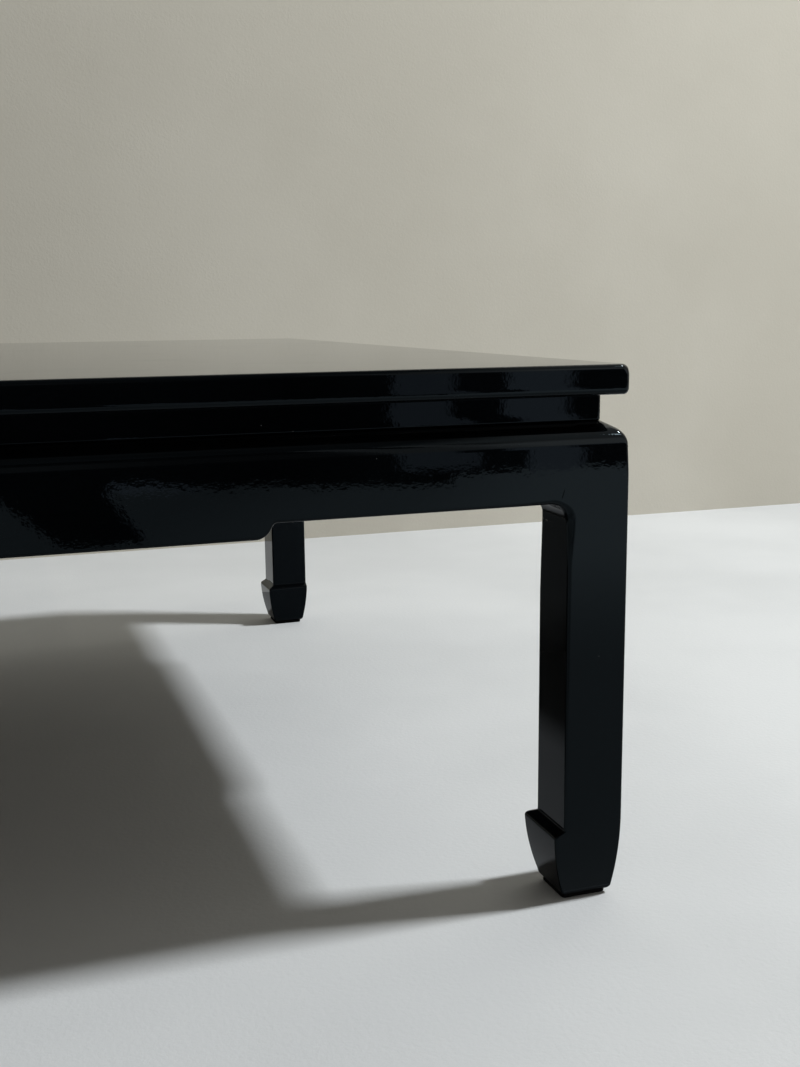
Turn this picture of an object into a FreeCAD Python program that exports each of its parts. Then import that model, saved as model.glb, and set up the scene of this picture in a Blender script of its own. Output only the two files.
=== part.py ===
import FreeCAD, Part
import math
import os

# Lengths are in mm. The table stands on z = 0, centred on the origin, with its front facing -Y.

# Whole table, over the outer faces of the legs
TABLE_W = 950.0
TABLE_D = 950.0
TABLE_H = 400.0

# Top: four mitred rails round a flush panel
TOP_T = 21.5
RAIL_W = 80.0
EDGE_FACE_R = 200.0
EDGE_UPPER_R = 3.5
EDGE_LOWER_R = 4.0
PANEL_T = 12.0
PANEL_TONGUE_T = 6.0
PANEL_TONGUE_L = 8.0
RAIL_TENON_W = 20.0
RAIL_TENON_T = 6.0
RAIL_TENON_STOP = 14.0
RAIL_TENON_SHOULDER = 2.0
PEG_D = 6.0
PEG_L = 16.0

# Battens under the panel
BATTEN_W = 36.0
BATTEN_H = 18.0
BATTEN_NECK_W = 24.0
BATTEN_FLARE = 3.0
BATTEN_DOVETAIL_H = 5.0
BATTEN_TENON_L = 14.0
BATTEN_TENON_SHOULDER = 1.5

# Waist strip between the top and the apron
WAIST_H = 19.0
WAIST_INSET = 15.0
WAIST_FACE_R = 600.0
WAIST_EDGE_R = 1.5
WAIST_TONGUE_T = 5.0
WAIST_TONGUE_H = 4.0
WAIST_TONGUE_IN = 2.5
WAIST_TONGUE_STOP = 20.0

# Apron: shallow at its ends, a step down to the deeper middle
APRON_H = 56.5
APRON_T = 28.0
SHOULDER_ANGLE = 30.0
SHOULDER_R = 14.0
STEP_AT = 258.5
STEP_DROP = 10.5
STEP_ANGLE = 60.0
STEP_UPPER_R = 3.0
STEP_LOWER_R = 12.0
CORNER_R = 14.0
SEAM_ON_CORNER = 0.57
SEAM_ANGLE = 72.0
EAR_ROOT = 2.0
APRON_TENON_T = 8.0
APRON_TENON_IN = 12.0
APRON_TENON_SHOULDER = 10.0

# Keys that tie the apron and the waist to the top
KEY_W = 30.0
KEY_T = 12.0
KEY_NECK_W = 20.0
KEY_FLARE = 2.5
KEY_DOVETAIL = 4.0
KEY_FOOT = 14.0
KEY_TENON_L = 9.0
KEY_TENON_SHOULDER = 2.0

# Leg with its hoof foot
LEG_W = 47.5
HOOF_TUCK = 5.5
HOOF_CURVE_TOP = 65.0
HOOF_FOOT_IN = 2.2
LIP_Z = 55.0
LIP_OUT = 7.5
LEDGE_RISE = 3.0
LIP_NOSE_R = 4.0
HOOF_FULLNESS = 1.75
LEG_TENON_T = 7.0
LEG_TENON_L = 12.0
LEG_TENON_SHOULDER = 1.0

# Pads
PAD_T = 3.0
PAD_OUTER_INSET = 2.8
PAD_INNER_INSET = 1.0

# Eased arrises of the legs and of the aprons' lower edges
ARRIS_R = 2.5

# Clearances
JOINT_GAP = 0.5
PANEL_GAP = 1.0

# Heights
z_rail = TABLE_H - TOP_T
z_panel = TABLE_H - PANEL_T
z_waist = z_rail - WAIST_H
z_apron = z_waist - APRON_H
z_deep = z_apron - STEP_DROP
z_key = z_apron + KEY_FOOT

SIDES = ("front", "right", "back", "left")
CORNERS = ("front_left", "front_right", "back_right", "back_left")
KEY_ENDS = (("left", "right"), ("front", "back"), ("right", "left"), ("back", "front"))


def vec(x, y, z):
    return FreeCAD.Vector(x, y, z)


def section(s, z):
    return vec(0, s, z)


def elevation(x, z):
    return vec(x, 0, z)


def plan(x, s):
    return vec(x, s, 0)


def box(x0, x1, y0, y1, z0, z1):
    return Part.makeBox(x1 - x0, y1 - y0, z1 - z0, vec(x0, y0, z0))


def is_arc(step):
    return isinstance(step[0], tuple)


def end_of(step):
    return step[1] if is_arc(step) else step


def face(lift, start, steps):
    """A closed face. A step is a line's end, or an arc's middle and end."""
    edges = []
    here = start
    for step in steps:
        end = end_of(step)
        if is_arc(step):
            edges.append(Part.Arc(lift(*here), lift(*step[0]), lift(*end)).toShape())
        else:
            edges.append(Part.makeLine(lift(*here), lift(*end)))
        here = end
    edges.append(Part.makeLine(lift(*here), lift(*start)))
    return Part.Face(Part.Wire(edges))


def polar(centre, radius, degrees):
    turn = math.radians(degrees)
    return (centre[0] + radius * math.cos(turn), centre[1] + radius * math.sin(turn))


def bowed(start, end, fullness):
    """The middle of an arc that stands off its chord, to the right of the way it runs."""
    run = (end[0] - start[0], end[1] - start[1])
    size = math.hypot(*run)
    middle = ((start[0] + end[0]) / 2, (start[1] + end[1]) / 2)
    return (middle[0] + fullness * run[1] / size, middle[1] - fullness * run[0] / size)


def side_length(k):
    return TABLE_W if k % 2 == 0 else TABLE_D


def side_reach(k):
    return (TABLE_D if k % 2 == 0 else TABLE_W) / 2


def turned(shape, shift, k):
    spin = FreeCAD.Placement(vec(0, 0, 0), FreeCAD.Rotation(vec(0, 0, 1), 90 * k))
    move = FreeCAD.Placement(shift, FreeCAD.Rotation())
    return shape.transformed(spin.multiply(move).toMatrix(), copy=True)


def on_side(shape, k):
    """Set a shape drawn along X, with y as its inset from the outer face, on side k."""
    return turned(shape, vec(0, -side_reach(k), 0), k)


def on_corner(shape, k):
    """Set a shape drawn inward from the outer corner at 0, 0 on corner k, where side k starts."""
    return turned(shape, vec(-side_length(k) / 2, -side_reach(k), 0), k)


def swapped(shape):
    """The same shape with its two inward directions exchanged."""
    return shape.mirror(vec(0, 0, 0), vec(1, -1, 0))


def along(profile, length):
    """Extrude a section to a bar centred on x = 0."""
    bar = profile.extrude(vec(length, 0, 0))
    bar.translate(vec(-length / 2, 0, 0))
    return bar


def mitred(bar, length, depth):
    """Cut a bar's ends at 45 degrees in plan."""
    half = length / 2
    corners = [(-half, 0), (half, 0), (half - depth, depth)]
    wedge = face(plan, (depth - half, depth), corners).extrude(vec(0, 0, TABLE_H))
    return bar.common(wedge)


def eased(shape, ends):
    """Round the edges that run between the given pairs of points, and what runs on smoothly."""
    edges = []
    for a, b in ends:
        for edge in shape.Edges:
            tips = [vertex.Point for vertex in edge.Vertexes]
            if len(tips) == 2 and (tips[0].isEqual(a, 0.01) and tips[1].isEqual(b, 0.01)
                                   or tips[0].isEqual(b, 0.01) and tips[1].isEqual(a, 0.01)):
                edges.append(edge)
    return shape.makeFillet(ARRIS_R, edges)


def full_front(inset, z0, z1, r0, r1, face_r):
    """Foot and steps, upward, of a slightly full face with rounded arrises."""
    middle = (z0 + z1) / 2
    a0 = math.asin((middle - z0 - r0) / (face_r - r0))
    a1 = math.asin((z1 - middle - r1) / (face_r - r1))
    centre = (inset + face_r, middle)
    low = (centre[0] - (face_r - r0) * math.cos(a0), z0 + r0)
    high = (centre[0] - (face_r - r1) * math.cos(a1), z1 - r1)
    d0 = 180 + math.degrees(a0)
    d1 = 180 - math.degrees(a1)
    steps = [
        (polar(low, r0, (d0 + 270) / 2), polar(low, r0, d0)),
        ((inset, middle), polar(high, r1, d1)),
        (polar(high, r1, (d1 + 90) / 2), (high[0], z1)),
    ]
    return (low[0], z0), steps


def shoulder_steps():
    """From the vertical outer face up over the rounded shoulder to the foot of the waist."""
    slope = math.radians(SHOULDER_ANGLE)
    z_meet = z_waist - WAIST_INSET * math.tan(slope)
    tangent = SHOULDER_R * math.tan((math.pi / 2 - slope) / 2)
    centre = (SHOULDER_R, z_meet - tangent)
    end = 90 + SHOULDER_ANGLE
    arc = (polar(centre, SHOULDER_R, (180 + end) / 2), polar(centre, SHOULDER_R, end))
    return [(0, centre[1]), arc, (WAIST_INSET, z_waist)]


# Seam between the apron and the leg, measured inward from the corner
corner_at = LEG_W + CORNER_R
seam_e0 = LEG_W + SEAM_ON_CORNER * CORNER_R
seam_z0 = z_apron - CORNER_R + CORNER_R * math.sqrt(1 - (1 - SEAM_ON_CORNER) ** 2)
seam_slope = math.tan(math.radians(SEAM_ANGLE))


def seam_e(z):
    return seam_e0 - (z - seam_z0) / seam_slope


def corner_arc_middle(share0, share1):
    """A point halfway between two shares of the rounded inner corner, 0 at the leg, 1 at the apron."""
    turns = [math.degrees(math.acos(share - 1)) for share in (share0, share1)]
    return polar((corner_at, z_apron - CORNER_R), CORNER_R, sum(turns) / 2)


# Tenons, keys and battens: the same solids are fused to one piece and cut from the other

tenon_out = RAIL_W - PANEL_TONGUE_L - RAIL_TENON_SHOULDER
tenon_z = z_rail + (TOP_T - RAIL_TENON_T) / 2


def rail_tenon(k, gap=0.0):
    """The mitre tenon of the front or back rail at corner k."""
    run = (RAIL_TENON_STOP - gap, tenon_out)
    across = (tenon_out - RAIL_TENON_W, tenon_out)
    u, v = (run, across) if k % 2 == 0 else (across, run)
    return on_corner(box(*u, *v, tenon_z, tenon_z + RAIL_TENON_T), k)


def rail_peg(k, gap=0.0):
    """The peg through that tenon, driven up from the underside of the rail."""
    across = tenon_out - RAIL_TENON_W / 2
    run = (RAIL_TENON_STOP + tenon_out - RAIL_TENON_W) / 2
    u, v = (run, across) if k % 2 == 0 else (across, run)
    return on_corner(Part.makeCylinder(PEG_D / 2, PEG_L + gap, vec(u, v, z_rail)), k)


def leg_tenons(gap=0.0):
    """Two tenons on the leg's stub, one for each rail at the corner."""
    far = LEG_W - LEG_TENON_SHOULDER
    near = APRON_T + LEG_TENON_SHOULDER
    first = box(far - LEG_TENON_T, far, near, near + LEG_TENON_T, z_rail, z_rail + LEG_TENON_L + gap)
    return [first, swapped(first)]


def key_places(k):
    return [-side_length(k) / 6, side_length(k) / 6]


def key_dovetail(x):
    """The key's dovetail, let into the backs of the apron and the waist."""
    half = KEY_NECK_W / 2
    deep = APRON_T - KEY_DOVETAIL
    corners = [(x + half, APRON_T), (x + half + KEY_FLARE, deep), (x - half - KEY_FLARE, deep)]
    tail = face(plan, (x - half, APRON_T), corners).extrude(vec(0, 0, z_rail - z_key))
    tail.translate(vec(0, 0, z_key))
    return tail


def key_tenon(x, gap=0.0):
    half = KEY_NECK_W / 2
    s0 = APRON_T + KEY_TENON_SHOULDER
    s1 = APRON_T + KEY_T - KEY_TENON_SHOULDER
    return box(x - half, x + half, s0, s1, z_rail, z_rail + KEY_TENON_L + gap)


batten_places = {"left": -(TABLE_W / 2 - RAIL_W) / 2, "centre": 0.0, "right": (TABLE_W / 2 - RAIL_W) / 2}
batten_end = TABLE_D / 2 - RAIL_W


def batten_dovetail(x, end):
    """The batten's dovetail in the underside of the panel, run out to +-end."""
    half = BATTEN_NECK_W / 2
    top = z_panel + BATTEN_DOVETAIL_H
    corners = [(x + half, z_panel), (x + half + BATTEN_FLARE, top), (x - half - BATTEN_FLARE, top)]
    tail = face(elevation, (x - half, z_panel), corners).extrude(vec(0, 2 * end, 0))
    tail.translate(vec(0, -end, 0))
    return tail


def batten_tenons(x, gap=0.0):
    half = BATTEN_NECK_W / 2
    z0 = z_rail + BATTEN_TENON_SHOULDER
    z1 = z_panel - BATTEN_TENON_SHOULDER
    tip = batten_end + BATTEN_TENON_L + gap
    return [box(x - half, x + half, y0, y1, z0, z1) for y0, y1 in ((-tip, -batten_end), (batten_end, tip))]


def waist_tongue(k, z0, z1):
    """The straight tongue along the middle of the waist strip's top or bottom edge."""
    half = side_length(k) / 2 - LEG_W - WAIST_TONGUE_STOP
    s0 = WAIST_INSET + WAIST_TONGUE_IN
    return box(-half, half, s0, s0 + WAIST_TONGUE_T, z0, z1)


apron_tenon_z = (z_apron + APRON_TENON_SHOULDER, z_waist - APRON_TENON_SHOULDER)


def apron_tenon(gap=0.0):
    """The apron's end tenon in the leg, drawn inward from the corner."""
    s1 = APRON_TENON_IN + APRON_TENON_T
    return box(APRON_T - gap, seam_e0, APRON_TENON_IN, s1, *apron_tenon_z)


# Pieces

def top_rail(k):
    length = side_length(k)
    foot, front = full_front(0, z_rail, TABLE_H, EDGE_LOWER_R, EDGE_UPPER_R, EDGE_FACE_R)
    profile = face(section, (RAIL_W, z_rail), [foot] + front + [(RAIL_W, TABLE_H)])
    bar = mitred(along(profile, length), length, RAIL_W)
    z_groove = z_panel + PANEL_TONGUE_T
    groove = box(-length / 2, length / 2, RAIL_W - PANEL_TONGUE_L, RAIL_W, z_panel, z_groove)
    tools = [groove, waist_tongue(k, z_rail, z_rail + WAIST_TONGUE_H + JOINT_GAP)]
    tools += [key_tenon(x, JOINT_GAP) for x in key_places(k)]
    rail = on_side(bar.cut(tools), k)
    ends = (k, (k + 1) % 4)
    if k % 2 == 0:
        rail = rail.fuse([rail_tenon(c) for c in ends])
        cuts = [tenon for x in batten_places.values() for tenon in batten_tenons(x, JOINT_GAP)]
    else:
        cuts = [rail_tenon(c, JOINT_GAP) for c in ends]
    cuts += [rail_peg(c, JOINT_GAP) for c in ends]
    cuts += [on_corner(tenon, c) for c in ends for tenon in leg_tenons(JOINT_GAP)]
    return rail.cut(cuts).removeSplitter()


def top_panel():
    x = TABLE_W / 2 - RAIL_W
    y = TABLE_D / 2 - RAIL_W
    out = PANEL_TONGUE_L - PANEL_GAP
    board = box(-x, x, -y, y, z_panel, TABLE_H)
    tongue = box(-x - out, x + out, -y - out, y + out, z_panel, z_panel + PANEL_TONGUE_T)
    grooves = [batten_dovetail(place, y + PANEL_TONGUE_L) for place in batten_places.values()]
    return board.fuse(tongue).cut(grooves).removeSplitter()


def panel_batten(x):
    half = BATTEN_W / 2
    body = box(x - half, x + half, -batten_end, batten_end, z_panel - BATTEN_H, z_panel)
    return body.fuse([batten_dovetail(x, batten_end)] + batten_tenons(x)).removeSplitter()


def waist(k):
    length = side_length(k)
    foot, front = full_front(WAIST_INSET, z_waist, z_rail, WAIST_EDGE_R, WAIST_EDGE_R, WAIST_FACE_R)
    profile = face(section, (APRON_T, z_waist), [foot] + front + [(APRON_T, z_rail)])
    strip = mitred(along(profile, length), length, APRON_T)
    strip = strip.fuse([waist_tongue(k, z_rail, z_rail + WAIST_TONGUE_H),
                        waist_tongue(k, z_waist - WAIST_TONGUE_H, z_waist)])
    strip = strip.cut([key_dovetail(x) for x in key_places(k)])
    return on_side(strip.removeSplitter(), k)


def apron_outline(half):
    """Elevation of the apron from seam to seam, and where its deep middle ends."""

    def from_middle(point):
        return (point[0] - half, point[1])

    def flipped(point):
        return (-point[0], point[1])

    turn = math.radians(STEP_ANGLE)
    rest = STEP_DROP - (STEP_UPPER_R + STEP_LOWER_R) * (1 - math.cos(turn))
    slant = rest / math.sin(turn)
    hollow = (STEP_AT, z_apron - STEP_UPPER_R)
    a = polar(hollow, STEP_UPPER_R, 90 - STEP_ANGLE)
    b = (a[0] + slant * math.cos(turn), a[1] - slant * math.sin(turn))
    round_at = (b[0] + STEP_LOWER_R * math.sin(turn), z_deep + STEP_LOWER_R)
    lead = [
        (corner_arc_middle(SEAM_ON_CORNER, 1), (corner_at, z_apron)),
        (STEP_AT, z_apron),
        (polar(hollow, STEP_UPPER_R, 90 - STEP_ANGLE / 2), a),
        b,
        (polar(round_at, STEP_LOWER_R, 270 - STEP_ANGLE / 2), (round_at[0], z_deep)),
    ]
    left = [tuple(from_middle(p) for p in step) if is_arc(step) else from_middle(step) for step in lead]
    points = [from_middle((seam_e0, seam_z0))] + [end_of(step) for step in left]
    right = [flipped(points[-1])]
    for step, start in reversed(list(zip(left, points))):
        right.append((flipped(step[0]), flipped(start)) if is_arc(step) else flipped(start))
    seam_top = from_middle((seam_e(z_waist), z_waist))
    top = [flipped(seam_top), seam_top]
    return face(elevation, points[0], left + right + top), -points[-1][0]


def apron(k):
    length = side_length(k)
    half = length / 2
    outline, deep_at = apron_outline(half)
    board = outline.extrude(vec(0, APRON_T, 0))
    profile = face(section, (APRON_T, z_deep), [(0, z_deep)] + shoulder_steps() + [(APRON_T, z_waist)])
    board = board.common(along(profile, length))
    board = eased(board, [(vec(-deep_at, 0, z_deep), vec(deep_at, 0, z_deep))])
    tenon = apron_tenon()
    tenon.translate(vec(-half, 0, 0))
    other = tenon.mirror(vec(0, 0, 0), vec(1, 0, 0))
    board = board.fuse([tenon, other])
    groove = waist_tongue(k, z_waist - WAIST_TONGUE_H - JOINT_GAP, z_waist)
    board = board.cut([groove] + [key_dovetail(x) for x in key_places(k)])
    return on_side(board.removeSplitter(), k)


def apron_key(k, x):
    half = KEY_W / 2
    body = box(x - half, x + half, APRON_T, APRON_T + KEY_T, z_key, z_rail)
    return on_side(body.fuse([key_dovetail(x), key_tenon(x)]).removeSplitter(), k)


def leg():
    """One leg, drawn inward from its outer corner."""
    foot_out = (HOOF_TUCK, PAD_T)
    foot_in = (LEG_W - HOOF_FOOT_IN, PAD_T)
    radius = ((HOOF_CURVE_TOP - PAD_T) ** 2 + HOOF_TUCK ** 2) / (2 * HOOF_TUCK)
    sweep = math.degrees(math.asin((HOOF_CURVE_TOP - PAD_T) / radius))
    tuck = polar((radius, HOOF_CURVE_TOP), radius, 180 + sweep / 2)
    lip = LEG_W + LIP_OUT
    nose = (lip - LIP_NOSE_R, LIP_Z - LIP_NOSE_R)
    under_nose = (lip, nose[1])
    steps = [(tuck, (0, HOOF_CURVE_TOP))] + shoulder_steps()
    steps += [(LEG_W, z_waist), (LEG_W, LIP_Z + LEDGE_RISE), (nose[0], LIP_Z)]
    steps += [(polar(nose, LIP_NOSE_R, 45), under_nose)]
    steps += [(bowed(foot_in, under_nose, HOOF_FULLNESS), foot_in)]
    post = face(elevation, foot_out, steps).extrude(vec(0, lip, 0))
    post = post.common(swapped(post))

    overlap = LEG_W - EAR_ROOT
    z_close = seam_z0 + (seam_e0 - overlap) * seam_slope
    spandrel_foot = (LEG_W, z_apron - CORNER_R)
    arc = (corner_arc_middle(0, SEAM_ON_CORNER), (seam_e0, seam_z0))
    ear = face(elevation, (overlap, spandrel_foot[1]), [spandrel_foot, arc, (overlap, z_close)])
    ear = ear.extrude(vec(0, LEG_W - 2 * ARRIS_R, 0))
    stub = box(APRON_T, LEG_W, APRON_T, LEG_W, z_waist, z_rail)
    post = post.fuse([ear, swapped(ear), stub] + leg_tenons())

    beyond = LEG_W + CORNER_R
    above = z_waist + WAIST_H / 2
    seat = face(elevation, (seam_e0, seam_z0), [(beyond, seam_z0), (beyond, above), (seam_e(above), above)])
    seat = seat.extrude(vec(0, APRON_T, 0))
    mortise = apron_tenon(JOINT_GAP)
    post = post.cut([seat, swapped(seat), mortise, swapped(mortise)]).removeSplitter()

    top_of_face = shoulder_steps()[0][1]
    ends = [(vec(0, 0, HOOF_CURVE_TOP), vec(0, 0, top_of_face)),
            (vec(LEG_W, LEG_W, LIP_Z + LEDGE_RISE), vec(LEG_W, LEG_W, z_rail)),
            (vec(LEG_W, 0, HOOF_CURVE_TOP), vec(LEG_W, 0, spandrel_foot[1])),
            (vec(0, LEG_W, HOOF_CURVE_TOP), vec(0, LEG_W, spandrel_foot[1]))]
    return eased(post, ends)


def foot_pad():
    low = HOOF_TUCK + PAD_OUTER_INSET
    high = LEG_W - HOOF_FOOT_IN - PAD_INNER_INSET
    return box(low, high, low, high, 0, PAD_T)


os.makedirs("parts", exist_ok=True)

top_panel().exportStep("parts/top_panel.step")
for name, place in batten_places.items():
    panel_batten(place).exportStep("parts/panel_batten_" + name + ".step")
Part.makeCompound([rail_peg(k) for k in range(4)]).exportStep("parts/rail_pegs.step")

for k, side in enumerate(SIDES):
    top_rail(k).exportStep("parts/top_rail_" + side + ".step")
    waist(k).exportStep("parts/waist_" + side + ".step")
    apron(k).exportStep("parts/apron_" + side + ".step")
    for end, place in zip(KEY_ENDS[k], key_places(k)):
        apron_key(k, place).exportStep("parts/apron_key_" + side + "_" + end + ".step")

one_leg = leg()
for k, corner in enumerate(CORNERS):
    on_corner(one_leg, k).exportStep("parts/leg_" + corner + ".step")
    on_corner(foot_pad(), k).exportStep("parts/foot_pad_" + corner + ".step")
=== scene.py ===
import math

import bmesh
import bpy
from mathutils import Matrix, Vector


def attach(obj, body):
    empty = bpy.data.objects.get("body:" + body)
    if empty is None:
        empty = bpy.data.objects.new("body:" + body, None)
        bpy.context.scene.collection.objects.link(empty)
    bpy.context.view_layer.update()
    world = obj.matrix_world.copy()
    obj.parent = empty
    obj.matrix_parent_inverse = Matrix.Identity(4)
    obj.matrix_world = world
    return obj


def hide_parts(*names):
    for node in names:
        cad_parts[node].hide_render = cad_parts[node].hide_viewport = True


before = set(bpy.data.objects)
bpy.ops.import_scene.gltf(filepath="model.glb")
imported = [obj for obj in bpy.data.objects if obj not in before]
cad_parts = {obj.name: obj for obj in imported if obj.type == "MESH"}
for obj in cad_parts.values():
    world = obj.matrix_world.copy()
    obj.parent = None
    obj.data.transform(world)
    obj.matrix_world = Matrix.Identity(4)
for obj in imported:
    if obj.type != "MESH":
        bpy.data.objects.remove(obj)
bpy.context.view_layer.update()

MM = 0.001
SIDES = ("front", "right", "back", "left")
CORNERS = ("front_left", "front_right", "back_right", "back_left")

# Sizes of the table, in millimetres, as in the frame
TABLE_SIDE = 950.0
TABLE_H = 400.0
HALF = TABLE_SIDE / 2

# Top rails, with softened upper corners
RAIL_FOOT = 378.5
RAIL_W = 80.0
EDGE_LOWER_R = 4.0
EDGE_UPPER_R = 3.5
EDGE_FACE_R = 200.0
RAIL_CORNER_R = 5.0
RAIL_SOFTENING = 5.0
RAIL_SOFTENED_H = 8.0

# Waist strips
WAIST_FOOT = 359.5
WAIST_INSET = 15.0
WAIST_EDGE_R = 1.5
WAIST_FACE_R = 600.0
WAIST_CORNER_R = 4.0

# Aprons; the stations are distances from the outer corner along the lower edge
APRON_T = 28.0
APRON_EDGE = 303.0
APRON_DEEP = 292.5
SHOULDER_R = 14.0
SHOULDER_SLOPE = 30.0
STEP_AT = 258.5
STEP_ANGLE = 60.0
STEP_HOLLOW_R = 3.0
STEP_ROUND_R = 12.0
SHALLOW_STATIONS = (66.0, 74.0, 84.0, 98.0, 116.0, 160.0, 210.0, 245.0)
DEEP_STATIONS = (300.0, 350.0, 410.0)

# Rounded inner corner of leg and apron, and the mitred seam that starts on it
CORNER_R = 14.0
CORNER_FOOT = APRON_EDGE - CORNER_R
SEAM_SHARE = 0.57
SEAM_ANGLE = 72.0
EAR_DEPTH = 42.5

# Arris radii: of the apron and at the seam, more at the leg and midway, and the run back to the apron's
ARRIS_R = 2.5
SEAM_EASE_R = 4.2
LEG_EASE_MORE = 1.4
MIDWAY_EASE_MORE = 1.2
MIDWAY_LEAN = 0.8
EASE_RUN = 40.0

# Hairline crack at the foot of one seam: heights with shares of its width, and the seam's heights above it
CRACKED_CORNER = "front_right"
CRACK_W = 0.6
CRACK = ((307.2, 0.2), (307.8, 0.8), (309.2, 1.0), (312.2, 0.85), (314.2, 0.0))
SOUND_SEAM = (321.0, 327.2, 335.0)
SEAM_BEHIND = 1.2

# Legs
LEG_W = 47.5
HOOF_TUCK = 5.5
HOOF_TOP = 65.0
HOOF_FOOT_IN = 2.2
HOOF_FULLNESS = 7.0
HOOF_START = 0.08
FOOT_R = 3.6
FOOT_FLARE = 0.4
LIP_OUT = 7.5
LIP_TOP = 55.0
NOSE_R = 4.0
LEDGE_ANGLE = 153.4
LEDGE_HOLLOW_R = 1.6
SHAFT_HEIGHTS = (61.0, HOOF_TOP, 90.0, 130.0, 180.0, 230.0, 256.0, 263.0, 269.0, 274.0, 278.0, 282.0, 286.0)

# Arrises of the legs: heights between which they grow, and the radii there
OUTER_ARRIS = (318.0, 348.0, 1.8, 4.8)
INNER_ARRIS = (230.0, CORNER_FOOT, 2.0, LEG_W - EAR_DEPTH)
FACE_ARRIS_TOP_R = 3.2
FACE_ARRIS = (60.0, 260.0, 2.0, FACE_ARRIS_TOP_R)
CORNER_EASE_FROM = 258.0

# Foot pads: heights, and how far the edge is drawn in there
PAD_T = 3.0
PAD_OUTER_INSET = 2.8
PAD_INNER_INSET = 1.0
PAD_CORNER_R = 3.0
PAD_EDGE = ((0, 0.9), (0.25, 0.35), (0.8, 0.08), (1.5, 0.0), (2.2, 0.08), (2.75, 0.3), (PAD_T, 0.8))

# Counts of points in the drawn lines, and the distance in metres at which points are one
SWEEP_STATIONS = 33
FACE_POINTS = 9
SHOULDER_POINTS = 15
ARRIS_POINTS = 11
OUTER_POINTS = 6
FOOT_POINTS = 9
HOOF_POINTS = 17
EAR_POINTS = 11
WELD = 2e-6


# Small drawing helpers

def polar(centre, radius, degrees):
    a = math.radians(degrees)
    return centre[0] + radius * math.cos(a), centre[1] + radius * math.sin(a)


def spread(start, end, count):
    return [start + (end - start) * i / (count - 1) for i in range(count)]


def arc(centre, radius, start, end, count):
    return [polar(centre, radius, a) for a in spread(start, end, count)]


def grown(z, z0, z1, least, most):
    """A size that grows smoothly with the height, between z0 and z1."""
    share = min(1.0, max(0.0, (z - z0) / (z1 - z0)))
    return least + (most - least) * share * share * (3 - 2 * share)


def quarter_turn(k):
    return Matrix.Rotation(k * math.pi / 2, 4, "Z")


def seam_from_corner(z):
    """How far the mitred seam of leg and apron stands from the outer corner at height z."""
    foot = LEG_W + SEAM_SHARE * CORNER_R
    foot_z = CORNER_FOOT + CORNER_R * math.sqrt(1 - (1 - SEAM_SHARE) ** 2)
    return foot - (z - foot_z) / math.tan(math.radians(SEAM_ANGLE))


def shoulder_line():
    """Inset and height up the rounded shoulder, from the plumb face to the foot of the waist."""
    slope = math.radians(SHOULDER_SLOPE)
    meet = WAIST_FOOT - WAIST_INSET * math.tan(slope)
    centre = (SHOULDER_R, meet - SHOULDER_R * math.tan((math.pi / 2 - slope) / 2))
    return arc(centre, SHOULDER_R, 180, 90 + SHOULDER_SLOPE, SHOULDER_POINTS) + [(WAIST_INSET, WAIST_FOOT)]


def corner_path(start_share, end_share, count):
    """Rounded inner corner, from 0 at the leg to 1 at the apron: points, each with the way into the wood."""
    centre = (LEG_W + CORNER_R, CORNER_FOOT)
    turns = [math.degrees(math.acos(max(-1.0, share - 1))) for share in (start_share, end_share)]
    return [(*polar(centre, CORNER_R, a), *polar((0, 0), 1, a)) for a in spread(*turns, count)]


def eased_arris(r):
    """Round from the front face to the inner face: distances from the inner face and from the front face."""
    turns = [math.radians(a) for a in spread(0, 90, ARRIS_POINTS)]
    return [(r - r * math.sin(a), r - r * math.cos(a)) for a in turns]


def corner_ease(share):
    """Arris radius round the inner corner, from the leg, 0, to the seam, 1: fullest a third of the way."""
    at_leg = LEG_EASE_MORE * math.cos(math.pi / 2 * share) ** 2
    return SEAM_EASE_R + at_leg + MIDWAY_EASE_MORE * math.sin(math.pi * share ** MIDWAY_LEAN) ** 2


def full_face(inset, z0, z1, r0, r1, face_r):
    """Slightly full face with rounded arrises, drawn upward as inset and height."""
    middle = (z0 + z1) / 2
    a0 = math.asin((middle - z0 - r0) / (face_r - r0))
    a1 = math.asin((z1 - middle - r1) / (face_r - r1))
    centre = (inset + face_r, middle)
    low = (centre[0] - (face_r - r0) * math.cos(a0), z0 + r0)
    high = (centre[0] - (face_r - r1) * math.cos(a1), z1 - r1)
    d0, d1 = 180 + math.degrees(a0), 180 - math.degrees(a1)
    line = arc(low, r0, 270, d0, FACE_POINTS)
    line += arc(centre, face_r, d0, d1, FACE_POINTS)[1:]
    return line + arc(high, r1, d1, 90, FACE_POINTS)[1:]


# Materials

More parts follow.
